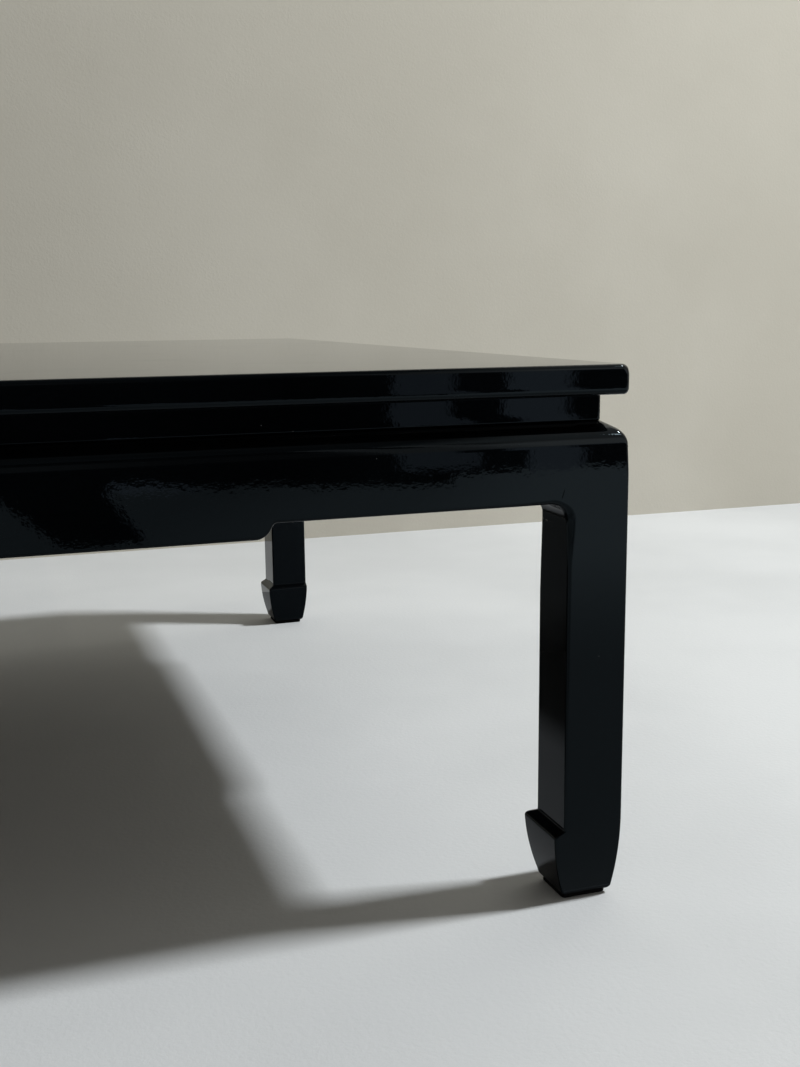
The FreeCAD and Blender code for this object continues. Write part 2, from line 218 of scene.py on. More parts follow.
class Finish:
    """A node material that is written as short lines."""

    def __init__(self, name):
        self.material = bpy.data.materials.new(name)
        self.material.use_nodes = True
        self.tree = self.material.node_tree
        self.shader = self.tree.nodes["Principled BSDF"]
        self.place = self.node("ShaderNodeTexCoord").outputs["Object"]

    def node(self, kind, **settings):
        made = self.tree.nodes.new(kind)
        for name, value in settings.items():
            setattr(made, name, value)
        return made

    def set(self, socket, value):
        if isinstance(value, bpy.types.NodeSocket):
            self.tree.links.new(value, socket)
        else:
            socket.default_value = value

    def set_all(self, made, **values):
        """Sets a node's inputs by their names, with _ for a space."""
        for name, value in values.items():
            self.set(made.inputs[name.replace("_", " ")], value)
        return made

    def math(self, operation, a, b=0.0, clamp=False):
        made = self.node("ShaderNodeMath", operation=operation, use_clamp=clamp)
        self.set(made.inputs[0], a)
        self.set(made.inputs[1], b)
        return made.outputs[0]

    def xyz(self, vector=None):
        """A vector's three shares; the place on the piece, where no other is given."""
        made = self.node("ShaderNodeSeparateXYZ")
        self.set(made.inputs[0], vector or self.place)
        return made.outputs

    def noise(self, scale, detail=2.0, roughness=0.5, distortion=0.0):
        made = self.node("ShaderNodeTexNoise")
        self.set_all(made, Vector=self.place, Scale=scale, Detail=detail)
        self.set_all(made, Roughness=roughness, Distortion=distortion)
        return made.outputs["Fac"]

    def ramp(self, value, low, high, out_low=0.0, out_high=1.0):
        made = self.node("ShaderNodeMapRange", interpolation_type="SMOOTHSTEP")
        self.set_all(made, Value=value, From_Min=low, From_Max=high, To_Min=out_low, To_Max=out_high)
        return made.outputs["Result"]

    def mix(self, share, first, second):
        made = self.node("ShaderNodeMix", data_type="RGBA")
        self.set(made.inputs[0], share)
        self.set(made.inputs[6], first)
        self.set(made.inputs[7], second)
        return made.outputs[2]

    def bump(self, height, depth, under=None):
        made = self.node("ShaderNodeBump")
        self.set_all(made, Strength=1.0, Distance=depth, Height=height)
        if under is not None:
            self.set(made.inputs["Normal"], under)
        return made.outputs[0]

    def specks(self, scale, size, share):
        """Sparse round specks: 1 inside a speck, 0 elsewhere."""
        cells = self.set_all(self.node("ShaderNodeTexVoronoi"), Vector=self.place, Scale=scale)
        dice = self.node("ShaderNodeSeparateColor")
        self.set(dice.inputs[0], cells.outputs["Color"])
        kept = self.math("LESS_THAN", dice.outputs[0], share)
        near = self.ramp(cells.outputs["Distance"], size * 0.5, size, 1.0, 0.0)
        return self.math("MULTIPLY", kept, near)

    def arris(self, low=0.12, high=0.28):
        """1 on rounded arrises, where the surface turns away from the table's three main directions."""
        way = self.xyz(self.node("ShaderNodeNewGeometry").outputs["True Normal"])
        sizes = [self.math("ABSOLUTE", share) for share in way]
        widest = self.math("MAXIMUM", self.math("MAXIMUM", sizes[0], sizes[1]), sizes[2])
        return self.ramp(self.math("SUBTRACT", 1.0, widest), low, high)

    def output(self, color, roughness, normal):
        self.set_all(self.shader, Base_Color=color, Roughness=roughness, Normal=normal)
        return self.material

    def glow(self, color, strength):
        return self.set_all(self.node("ShaderNodeEmission"), Color=color, Strength=strength).outputs[0]

    def clear(self, tint=(1, 1, 1, 1)):
        return self.set_all(self.node("ShaderNodeBsdfTransparent"), Color=tint).outputs[0]

    def change(self, share, first, second):
        """Goes from one surface to another as the share grows from 0 to 1."""
        made = self.node("ShaderNodeMixShader")
        for socket, value in zip(made.inputs, (share, first, second)):
            self.set(socket, value)
        return made.outputs[0]

    def show(self, surface):
        self.set(self.tree.nodes["Material Output"].inputs["Surface"], surface)
        return self.material


def black_lacquer():
    """Deep gloss with a faint ripple and peel, a few dust specks and smudges, and arrises rubbed brown."""
    f = Finish("black_lacquer")
    depth = f.ramp(f.noise(7.0, 4.0, 0.6), 0.3, 0.75)
    color = f.mix(depth, (0.0009, 0.0012, 0.0016, 1), (0.0017, 0.0023, 0.0029, 1))
    rubbed = f.math("MULTIPLY", f.arris(), f.ramp(f.noise(60.0, 5.0, 0.7), 0.52, 0.8))
    color = f.mix(f.math("MULTIPLY", rubbed, 0.2), color, (0.022, 0.015, 0.011, 1))
    dust = f.specks(95.0, 0.045, 0.09)
    color = f.mix(f.math("MULTIPLY", dust, 0.7), color, (0.10, 0.10, 0.095, 1))
    smudge = f.ramp(f.noise(11.0, 5.0, 0.65, distortion=0.6), 0.5, 0.9, 0.018, 0.09)
    dulled = f.math("MULTIPLY", f.math("MAXIMUM", rubbed, dust), 0.25)
    roughness = f.math("ADD", smudge, dulled, clamp=True)
    flow = f.bump(f.noise(26.0, 1.0, 0.4), 0.00004)
    peel = f.bump(f.noise(260.0, 2.0, 0.55), 0.00002, flow)
    grit = f.bump(dust, 0.00015, peel)
    f.set_all(f.shader, Specular_IOR_Level=0.17, Specular_Tint=(0.68, 0.87, 1.0, 1))
    return f.output(color, roughness, grit)


def inner_wood():
    """Dark-stained hardwood with rings, open pores and arrises worn paler."""
    f = Finish("inner_wood")
    rings = f.node("ShaderNodeTexWave", bands_direction="Z")
    f.set_all(rings, Vector=f.place, Scale=34.0, Distortion=5.0, Detail=3.0, Detail_Scale=1.4)
    ring = rings.outputs["Fac"]
    patches = f.noise(9.0, 5.0, 0.6)
    fibre = f.noise(420.0, 3.0, 0.7)
    tone = f.math("ADD", f.math("MULTIPLY", ring, 0.45), f.math("MULTIPLY", patches, 0.55))
    color = f.mix(tone, (0.060, 0.036, 0.021, 1), (0.165, 0.105, 0.062, 1))
    pores = f.ramp(fibre, 0.30, 0.42, 1.0, 0.0)
    color = f.mix(f.math("MULTIPLY", pores, 0.5), color, (0.030, 0.018, 0.011, 1))
    color = f.mix(f.math("MULTIPLY", f.arris(), 0.4), color, (0.20, 0.135, 0.085, 1))
    roughness = f.ramp(fibre, 0.2, 0.8, 0.5, 0.72)
    return f.output(color, roughness, f.bump(fibre, 0.0002, f.bump(ring, 0.0003)))


def foot_felt():
    """Dense black felt: fine tufts over wider clumps, almost no sheen."""
    f = Finish("foot_felt")
    tufts = f.noise(900.0, 6.0, 0.75)
    clumps = f.noise(160.0, 3.0, 0.6)
    color = f.mix(f.ramp(tufts, 0.3, 0.7), (0.0015, 0.0015, 0.0018, 1), (0.005, 0.005, 0.0053, 1))
    color = f.mix(f.ramp(clumps, 0.5, 0.8, 0.0, 0.5), color, (0.008, 0.008, 0.0078, 1))
    f.set_all(f.shader, Specular_IOR_Level=0.08, Sheen_Weight=0.015, Sheen_Roughness=0.5)
    roughness = f.ramp(tufts, 0.2, 0.8, 0.82, 0.97)
    return f.output(color, roughness, f.bump(tufts, 0.0006, f.bump(clumps, 0.0008)))


LACQUER = black_lacquer()
WOOD = inner_wood()
FELT = foot_felt()


# Turning drawn loops into finished pieces

def settled_mesh(draft):
    """The draft's mesh with its modifiers applied."""
    return bpy.data.meshes.new_from_object(draft.evaluated_get(bpy.context.evaluated_depsgraph_get()))


def finished(name, mesh, material, node, sharp=40.0):
    """Makes an object of a closed mesh, with flat faces kept flat, and lets it stand for its frame node."""
    work = bmesh.new()
    work.from_mesh(mesh)
    bmesh.ops.remove_doubles(work, verts=work.verts, dist=WELD)
    bmesh.ops.dissolve_degenerate(work, edges=work.edges, dist=WELD)
    rim = [edge for edge in work.edges if edge.is_boundary]
    if rim:
        bmesh.ops.holes_fill(work, edges=rim, sides=0)
    bmesh.ops.recalc_face_normals(work, faces=work.faces)
    for part in work.faces:
        part.smooth = True
    work.to_mesh(mesh)
    work.free()
    mesh.set_sharp_from_angle(angle=math.radians(sharp))
    draft = bpy.data.objects.new(name + ".draft", mesh)
    bpy.context.scene.collection.objects.link(draft)
    weigh = draft.modifiers.new("flat_faces", "WEIGHTED_NORMAL")
    weigh.keep_sharp = True
    ready = settled_mesh(draft)
    bpy.data.objects.remove(draft)
    ready.name = name
    ready.materials.clear()
    ready.materials.append(material)
    piece = bpy.data.objects.new(name, ready)
    bpy.context.scene.collection.objects.link(piece)
    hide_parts(node)
    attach(piece, "root")
    return piece


def loft(name, loops):
    """Skins a stack of closed loops, all with the same count of points, in metres."""
    work = bmesh.new()
    rows = [[work.verts.new(p) for p in loop] for loop in loops]
    for low, high in zip(rows, rows[1:]):
        for i in range(len(low)):
            j = (i + 1) % len(low)
            work.faces.new((low[i], low[j], high[j], high[i]))
    work.faces.new(rows[0])
    work.faces.new(rows[-1])
    mesh = bpy.data.meshes.new(name)
    work.to_mesh(mesh)
    work.free()
    return mesh


# Top rails and waist strips: one moulded section swept along a side and mitred round its corners

MOULDING_SIZES = ("Side Length", "Corner Radius", "Softening", "Softened Foot", "Softened Height")


def moulding_tree():
    tree = bpy.data.node_groups.new("mitred_moulding", "GeometryNodeTree")
    face = tree.interface
    face.new_socket("Section", in_out="INPUT", socket_type="NodeSocketGeometry")
    for name in MOULDING_SIZES + ("Side Turn",):
        face.new_socket(name, in_out="INPUT", socket_type="NodeSocketFloat")
    face.new_socket("Stations", in_out="INPUT", socket_type="NodeSocketInt").default_value = SWEEP_STATIONS
    face.new_socket("Finish", in_out="INPUT", socket_type="NodeSocketMaterial")
    face.new_socket("Moulding", in_out="OUTPUT", socket_type="NodeSocketGeometry")
    given = tree.nodes.new("NodeGroupInput").outputs
    made = tree.nodes.new("NodeGroupOutput").inputs

    def node(kind, inputs=(), **settings):
        new = tree.nodes.new(kind)
        for key, value in settings.items():
            setattr(new, key, value)
        for key, value in dict(inputs).items():
            if isinstance(value, bpy.types.NodeSocket):
                tree.links.new(value, new.inputs[key])
            else:
                new.inputs[key].default_value = value
        return new.outputs

    def reckon(operation, a, b=0.0):
        return node("ShaderNodeMath", {0: a, 1: b}, operation=operation)[0]

    # The path runs from -2 to 2: up to 1 is the straight side, beyond it half a corner
    path = node("GeometryNodeCurvePrimitiveLine", {"Start": (-2, 0, 0), "End": (2, 0, 0)})[0]
    path = node("GeometryNodeResampleCurve", {"Curve": path, "Count": given["Stations"]})[0]
    section = node("GeometryNodeMeshToCurve", {0: given["Section"]})[0]
    swept = node("GeometryNodeCurveToMesh", {"Curve": path, "Profile Curve": section, "Fill Caps": True})[0]
    where = node("ShaderNodeSeparateXYZ", {0: node("GeometryNodeInputPosition")[0]})
    along = reckon("ABSOLUTE", where[0])
    straight = reckon("MINIMUM", along, 1.0)
    turn = reckon("MULTIPLY", reckon("SUBTRACT", along, straight), math.pi / 4)
    inset = where[1]

    # The plan radius grows with the square of the height above the softened foot
    rise = reckon("SUBTRACT", where[2], given["Softened Foot"])
    rise = reckon("DIVIDE", reckon("MAXIMUM", rise, 0.0), given["Softened Height"])
    soft = reckon("MULTIPLY", given["Softening"], reckon("MULTIPLY", rise, rise))
    radius = reckon("ADD", given["Corner Radius"], soft)
    round_r = reckon("MAXIMUM", reckon("SUBTRACT", radius, inset), 0.0)
    inner = reckon("MAXIMUM", inset, radius)
    half = reckon("MULTIPLY", given["Side Length"], 0.5)
    run = reckon("MULTIPLY", straight, reckon("SUBTRACT", half, inner))
    run = reckon("ADD", run, reckon("MULTIPLY", round_r, reckon("SINE", turn)))
    run = reckon("MULTIPLY", run, reckon("SIGN", where[0]))
    deep = reckon("SUBTRACT", inner, reckon("MULTIPLY", round_r, reckon("COSINE", turn)))
    deep = reckon("SUBTRACT", deep, half)
    spot = node("ShaderNodeCombineXYZ", {0: run, 1: deep, 2: where[2]})[0]
    shaped = node("GeometryNodeSetPosition", {"Geometry": swept, "Position": spot})[0]
    shaped = node("GeometryNodeMergeByDistance", {"Geometry": shaped, "Distance": WELD})[0]
    spin = node("ShaderNodeCombineXYZ", {2: given["Side Turn"]})[0]
    spin = node("FunctionNodeEulerToRotation", {0: spin})[0]
    shaped = node("GeometryNodeTransform", {"Geometry": shaped, "Rotation": spin})[0]
    real = node("GeometryNodeRealizeInstances", {"Geometry": shaped})[0]
    lacquered = node("GeometryNodeSetMaterial", {"Geometry": real, "Material": given["Finish"]})[0]
    tree.links.new(lacquered, made[0])
    return tree


MOULDING = moulding_tree()
MOULDING_SOCKETS = [item for item in MOULDING.interface.items_tree if item.in_out == "INPUT"]
MOULDING_INPUT = {item.name: item.identifier for item in MOULDING_SOCKETS}


def moulding(name, section, k, corner_r, softening=0.0):
    """Sweeps a closed line of inset and height along side k, and softens its upper corners."""
    count = len(section)
    line = bpy.data.meshes.new(name + ".section")
    ring = [(i, (i + 1) % count) for i in range(count)]
    line.from_pydata([(-s * MM, -z * MM, 0) for s, z in section], ring, [])
    draft = bpy.data.objects.new(name + ".sweep", line)
    sweep = draft.modifiers.new("sweep", "NODES")
    sweep.node_group = MOULDING
    softened_foot = TABLE_H - RAIL_SOFTENED_H
    lengths = (TABLE_SIDE, corner_r, softening, softened_foot, RAIL_SOFTENED_H)
    for size, length in zip(MOULDING_SIZES, lengths):
        sweep[MOULDING_INPUT[size]] = length * MM
    sweep[MOULDING_INPUT["Side Turn"]] = k * math.pi / 2
    sweep[MOULDING_INPUT["Stations"]] = SWEEP_STATIONS
    sweep[MOULDING_INPUT["Finish"]] = LACQUER
    bpy.context.scene.collection.objects.link(draft)
    mesh = settled_mesh(draft)
    draft.modifiers.clear()
    bpy.data.objects.remove(draft)
    return finished(name, mesh, LACQUER, name.replace("lacquered_", ""))


rail_section = full_face(0, RAIL_FOOT, TABLE_H, EDGE_LOWER_R, EDGE_UPPER_R, EDGE_FACE_R)
rail_section += [(RAIL_W, TABLE_H), (RAIL_W, RAIL_FOOT)]
waist_section = full_face(WAIST_INSET, WAIST_FOOT, RAIL_FOOT, WAIST_EDGE_R, WAIST_EDGE_R, WAIST_FACE_R)
waist_section += [(APRON_T, RAIL_FOOT), (APRON_T, WAIST_FOOT)]
for k, side in enumerate(SIDES):
    moulding("lacquered_top_rail_" + side, rail_section, k, RAIL_CORNER_R, RAIL_SOFTENING)
    moulding("lacquered_waist_" + side, waist_section, k, WAIST_INSET + WAIST_CORNER_R)


# Aprons: the section follows the stepped lower edge from seam to seam

def apron_edge():
    """Half of the lower edge, seam to middle: distance from the outer corner, height, way into the wood."""
    line = corner_path(SEAM_SHARE, 1, 7)
    line += [(e, APRON_EDGE, 0, 1) for e in SHALLOW_STATIONS]
    centre = (STEP_AT, APRON_EDGE - STEP_HOLLOW_R)
    turns = spread(90, 90 - STEP_ANGLE, 6)
    line += [(*polar(centre, STEP_HOLLOW_R, a), *polar((0, 0), 1, a)) for a in turns]
    turn = math.radians(STEP_ANGLE)
    drop = APRON_EDGE - APRON_DEEP - (STEP_HOLLOW_R + STEP_ROUND_R) * (1 - math.cos(turn))
    slant = drop / math.sin(turn)
    slant_end = line[-1][0] + slant * math.cos(turn)
    centre = (slant_end + STEP_ROUND_R * math.sin(turn), APRON_DEEP + STEP_ROUND_R)
    turns = spread(270 - STEP_ANGLE, 270, 10)
    line += [(*polar(centre, STEP_ROUND_R, a), *polar((0, 0), -1, a)) for a in turns]
    return line + [(e, APRON_DEEP, 0, 1) for e in DEEP_STATIONS]


def seam_turn(into):
    """Way up the seam, and how far along it each unit of an arris round reaches."""
    way = polar((0, 0), 1, 180 - SEAM_ANGLE)
    return way, 1 / (way[0] * into[0] + way[1] * into[1])


def apron_station(e, z, ne, nz, at_seam):
    """Closed loop round the apron where its lower edge passes e, z; inset and height with e."""
    away = min(1.0, max(0.0, (e - LEG_W - SEAM_SHARE * CORNER_R) / EASE_RUN))
    line = eased_arris(corner_ease(1) + (ARRIS_R - corner_ease(1)) * away * (2 - away))
    reach = 1.0
    if at_seam:
        (ne, nz), reach = seam_turn((ne, nz))
    loop = [(e, APRON_T, z)]
    loop += [(e + ne * out * reach, deep, z + nz * out * reach) for out, deep in reversed(line)]
    for inset, up in shoulder_line():
        loop.append((seam_from_corner(up) if at_seam else e, inset, up))
    loop.append((seam_from_corner(WAIST_FOOT) if at_seam else e, APRON_T, WAIST_FOOT))
    return loop


def apron(k):
    left = [apron_station(*point, at_seam=i == 0) for i, point in enumerate(apron_edge())]
    loops = [[(e - HALF, s, z) for e, s, z in loop] for loop in left]
    loops += [[(HALF - e, s, z) for e, s, z in loop] for loop in reversed(left)]
    turn = quarter_turn(k)
    loops = [[turn @ (Vector((x, s - HALF, z)) * MM) for x, s, z in loop] for loop in loops]
    name = "lacquered_apron_" + SIDES[k]
    return finished(name, loft(name, loops), LACQUER, "apron_" + SIDES[k])


for k in range(4):
    apron(k)


# Legs: rounded square loops stacked from the hoof to the shoulder, with the corner ears and the seam

def hoof_tuck(z):
    """How far the outer faces curve in below the top of the hoof."""
    if z >= HOOF_TOP:
        return 0.0
    radius = ((HOOF_TOP - PAD_T) ** 2 + HOOF_TUCK ** 2) / (2 * HOOF_TUCK)
    return radius - math.sqrt(radius ** 2 - (HOOF_TOP - z) ** 2)


def hoof_inner_line():
    """Inner side of the hoof, from the floor end up over the lip and its ledge to the plumb shaft."""
    foot = Vector((LEG_W - HOOF_FOOT_IN, PAD_T))
    tip = Vector((LEG_W + LIP_OUT, LIP_TOP - NOSE_R))
    out = Vector((tip.y - foot.y, foot.x - tip.x)).normalized()
    shares = spread(HOOF_START, 1, HOOF_POINTS)
    line = [tuple(foot.lerp(tip, t) + out * HOOF_FULLNESS * t * (1 - t)) for t in shares]
    line += arc((tip.x - NOSE_R, tip.y), NOSE_R, 0, LEDGE_ANGLE - 90, 8)[1:]
    rise = math.tan(math.radians(180 - LEDGE_ANGLE))
    root_z = line[-1][1] + (line[-1][0] - LEG_W) * rise
    tangent = LEDGE_HOLLOW_R * math.tan(math.radians((LEDGE_ANGLE - 90) / 2))
    hollow = (LEG_W + LEDGE_HOLLOW_R, root_z + tangent)
    line += arc(hollow, LEDGE_HOLLOW_R, LEDGE_ANGLE + 90, 180, 7)
    return line


def half_loop(front_z, tuck, front_end, arris_line, behind, inner, inner_z):
    """From the outer arris over the front face to the inner arris: across, deep, height."""
    r = grown(front_z, *OUTER_ARRIS)
    loop = [(u, v, front_z) for u, v in arc((tuck + r, tuck + r), r, 225, 270, OUTER_POINTS)]
    loop += [front_end] + arris_line
    loop += [(u, v, inner_z) for u, v in behind]
    r = grown(inner_z, *INNER_ARRIS)
    return loop + [(u, v, inner_z) for u, v in arc((inner - r, inner - r), r, 0, 45, 7)]


def plain_loop(z, tuck, inner):
    """Half loop of the hoof and the shaft."""
    r = grown(z, *FACE_ARRIS)
    r += grown(z, CORNER_EASE_FROM, CORNER_FOOT, 0.0, corner_ease(0) - FACE_ARRIS_TOP_R)
    line = [(inner - out, tuck + deep, z) for out, deep in eased_arris(r)]
    deep = min(EAR_DEPTH, inner - 2 * ARRIS_R)
    behind = [(inner, APRON_T), (inner, APRON_T), (inner, deep), (inner, deep)]
    return half_loop(z, tuck, line[0], line[1:], behind, inner, z)


def ear_loop(e, z, ne, nz, share):
    """Half loop out to the rounded inner corner, where its edge passes e, z."""
    reach = 1.0
    if share == 1:
        (ne, nz), reach = seam_turn((ne, nz))
    ease = eased_arris(corner_ease(share))
    line = [(e + ne * out * reach, deep, z + nz * out * reach) for out, deep in ease]
    behind = [(e, APRON_T), (e, APRON_T), (e, EAR_DEPTH), (LEG_W, EAR_DEPTH)]
    return half_loop(line[0][2], 0.0, line[0], line[1:], behind, LEG_W, z)


def seam_loop(z, inset, split=0.0):
    """Half loop out to the seam; split is how far its face stands back from the apron's."""
    e = seam_from_corner(z)
    back = max(LEG_W, e)
    line = [(e, inset + deep, z) for deep in spread(SEAM_BEHIND, SEAM_EASE_R, ARRIS_POINTS - 1)]
    behind = [(e, APRON_T), (back, APRON_T), (back, EAR_DEPTH), (LEG_W, EAR_DEPTH)]
    return half_loop(z, inset, (e - split, inset, z), line, behind, LEG_W, z)


def stub_loop(z):
    """The square stub behind the waist strips, drawn with as many points as the loops below it."""
    top = seam_loop(WAIST_FOOT, WAIST_INSET)
    across = [APRON_T] * OUTER_POINTS + spread(APRON_T, seam_from_corner(WAIST_FOOT), ARRIS_POINTS)
    return [(u, APRON_T, z) for u in across] + [(u, v, z) for u, v, _ in top[len(across):]]


def leg_half_loops(split=0.0):
    """Half loops from floor to shoulder; split is the width of a crack along the foot of the seam."""
    loops = []
    for a in spread(0, 90, FOOT_POINTS):
        z = PAD_T + FOOT_R * (1 - math.cos(math.radians(a)))
        draw_in = FOOT_R * (1 - math.sin(math.radians(a)))
        inner = LEG_W - HOOF_FOOT_IN + FOOT_FLARE * (z - PAD_T) - draw_in
        loops.append(plain_loop(z, hoof_tuck(z) + draw_in, inner))
    for inner, z in hoof_inner_line()[1:]:
        loops.append(plain_loop(z, hoof_tuck(z), inner))
    for z in SHAFT_HEIGHTS:
        loops.append(plain_loop(z, hoof_tuck(z), LEG_W))
    ear = corner_path(0, SEAM_SHARE, EAR_POINTS)
    loops += [ear_loop(*point, i / (len(ear) - 1)) for i, point in enumerate(ear)]
    loops += [seam_loop(z, 0.0, split * share) for z, share in CRACK]
    loops += [seam_loop(z, 0.0) for z in SOUND_SEAM]
    loops += [seam_loop(z, inset) for inset, z in shoulder_line()]
    return loops + [stub_loop(WAIST_FOOT), stub_loop(RAIL_FOOT)]


def leg(k):
    turn = quarter_turn(k)

    def placed(point):
        return turn @ (Vector((point[0] - HALF, point[1] - HALF, point[2])) * MM)

    loops = []
    split = CRACK_W if CORNERS[k] == CRACKED_CORNER else 0.0
    for half, cracked in zip(leg_half_loops(), leg_half_loops(split)):
        other = [(v, u, z) for u, v, z in reversed(cracked[1:-1])]
        loops.append([placed(p) for p in half + other])
    name = "lacquered_leg_" + CORNERS[k]
    return finished(name, loft(name, loops), LACQUER, "leg_" + CORNERS[k], sharp=50.0)


for k in range(4):
    leg(k)


# Felt pads: pressed edges, a little fuller at mid height

def felt_pad(k):
    turn = quarter_turn(k)
    low, high = HOOF_TUCK + PAD_OUTER_INSET, LEG_W - HOOF_FOOT_IN - PAD_INNER_INSET
    loops = []
    for z, draw_in in PAD_EDGE:
        a, b = low + draw_in + PAD_CORNER_R, high - draw_in - PAD_CORNER_R
        loop = []
        for i, centre in enumerate(((b, b), (a, b), (a, a), (b, a))):
            loop += arc(centre, PAD_CORNER_R, 90 * i, 90 * (i + 1), 7)
        loops.append([turn @ (Vector((u - HALF, v - HALF, z)) * MM) for u, v in loop])
    name = "felt_pad_" + CORNERS[k]
    return finished(name, loft(name, loops), FELT, "foot_pad_" + CORNERS[k])


for k in range(4):
    felt_pad(k)


# Frame nodes whose shape is right keep it and take the finish

def dress(piece, material):
    for i in range(len(piece.material_slots)):
        piece.material_slots[i].link = "OBJECT"
        piece.material_slots[i].material = material


for name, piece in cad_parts.items():
    if name == "top_panel":
        dress(piece, LACQUER)
    elif name.startswith(("panel_batten", "apron_key", "rail_pegs")):
        dress(piece, WOOD)


# Camera at the photo's viewpoint, in metres and degrees

PHOTO_PLACE = (0.02635, -1.25584, 0.43981)
PHOTO_TURN = (79.78312, 0.54606, -19.45105)
PHOTO_LENS = 42.128
PHOTO_FILM = 36.0

lens = bpy.data.cameras.new("photo_view")
lens.lens = PHOTO_LENS
lens.sensor_width = PHOTO_FILM
lens.sensor_fit = "AUTO"
lens.clip_start = 0.01
camera = bpy.data.objects.new("photo_view", lens)
camera.location = PHOTO_PLACE
camera.rotation_euler = [math.radians(d) for d in PHOTO_TURN]
bpy.context.scene.collection.objects.link(camera)
bpy.context.scene.camera = camera


# Pale floor and a plain wall, each clear from behind, so no view is blocked; lengths in metres from here on

STAGE_HALF = 7.0
WALL_Y = 1.065
WALL_H = 4.0


def oblong(low, high):
    """Four corners of an upright or level rectangle, from its lowest and highest place on two axes."""
    return (low, (high[0], low[1]), high, (low[0], high[1]))


def level(outline, height):
    return [(x, y, height) for x, y in outline]


def upright(outline, y):
    return [(x, y, z) for x, z in outline]


def flat_sheet(name, corners, material):
    mesh = bpy.data.meshes.new(name)
    mesh.from_pydata(corners, [], [(0, 1, 2, 3)])
    mesh.materials.append(material)
    sheet = bpy.data.objects.new(name, mesh)
    bpy.context.scene.collection.objects.link(sheet)
    return sheet


def smooth_plaster(name, low, high):
    f = Finish(name)
    cloud = f.noise(1.6, 4.0, 0.55)
    fine = f.noise(220.0, 3.0, 0.6)
    f.set(f.shader.inputs["Specular IOR Level"], 0.2)
    color = f.mix(f.ramp(cloud, 0.3, 0.7), low, high)
    f.output(color, f.ramp(fine, 0.3, 0.7, 0.55, 0.75), f.bump(fine, 0.0003))
    behind = f.node("ShaderNodeNewGeometry").outputs["Backfacing"]
    return f.show(f.change(behind, f.shader.outputs[0], f.clear()))


floor_plaster = smooth_plaster("floor_plaster", (0.66, 0.67, 0.68, 1), (0.74, 0.75, 0.76, 1))
wall_plaster = smooth_plaster("wall_plaster", (0.566, 0.534, 0.462, 1), (0.622, 0.590, 0.517, 1))
floor_outline = oblong((-STAGE_HALF, -STAGE_HALF), (STAGE_HALF, STAGE_HALF))
wall_outline = oblong((-STAGE_HALF, 0), (STAGE_HALF, WALL_H))
flat_sheet("floor", level(floor_outline, 0), floor_plaster)
wall = flat_sheet("wall", upright(wall_outline, WALL_Y), wall_plaster)
wall.visible_shadow = False


# One soft lamp from high on the right

LAMP_PLACE = (3.05, -0.71, 3.8)
LAMP_AIM = (0.2, -0.1, 0.1)
LAMP_SIDE = 0.45
LAMP_WATTS = 175.0
LAMP_TINT = (0.95, 0.985, 1.0)

lamp = bpy.data.lights.new("soft_lamp", "AREA")
lamp.shape = "SQUARE"
lamp.size = LAMP_SIDE
lamp.energy = LAMP_WATTS
lamp.color = LAMP_TINT
panel = bpy.data.objects.new("soft_lamp", lamp)
panel.location = LAMP_PLACE
panel.rotation_euler = (Vector(LAMP_AIM) - Vector(LAMP_PLACE)).to_track_quat("-Z", "Y").to_euler()
bpy.context.scene.collection.objects.link(panel)


# Cards that only the gloss sees, painting reflections and shade into the lacquer though none is a lamp: a
# dark screen with two lit openings, and dim or pale sheets round the table

SCREEN_Y = -2.78
SCREEN_HALF = 6.0
CARD_TOP = 3.0
CARD_LAYER = 0.0005

# Upright edges of the painted lit openings on the screen: place across, place across close to the floor,
# softness
FIRST_OPENING = ((1.095, 1.112, 0.015), (1.272, 1.344, 0.02))
SECOND_OPENING = ((1.42, 1.486, 0.015), (1.615, 1.657, 0.03))
BAND_START = (0.355, 0.355, 0.015)
FIRST_STRENGTH = 0.86
SECOND_STRENGTH = 1.25
BAND_STRENGTH = 1.3

# Outlines of the level cards
UPPER_CARD = oblong((-3.0, SCREEN_Y), (1.8, 0.8))
PAINTED_SHADE_BEHIND = oblong((-0.9, 0.15), (0.15, 1.06))
PAINTED_SHADE_BELOW = oblong((-0.9, -0.474), (0.82, 0.6))
PALE_IN_FRONT = oblong((-0.6, -2.77), (2.0, -0.476))
DARK_STRIP = ((0.19, -2.08), (0.36, -2.08), (0.35, -2.77), (0.10, -2.77))
DARK_WEDGE = ((0.8, -2.72), (1.18, -2.58), (1.26, -2.77), (0.8, -2.77))
GLINT = ((2.2, -2.12), (2.6, -2.12), (2.6, -1.75), (2.07, -1.75))
GLINT_DROP = 0.02


def gloss_card(name, corners, material):
    card = flat_sheet(name, corners, material)
    card.visible_camera = False
    card.visible_diffuse = False
    card.visible_shadow = False
    card.visible_transmission = False
    return card


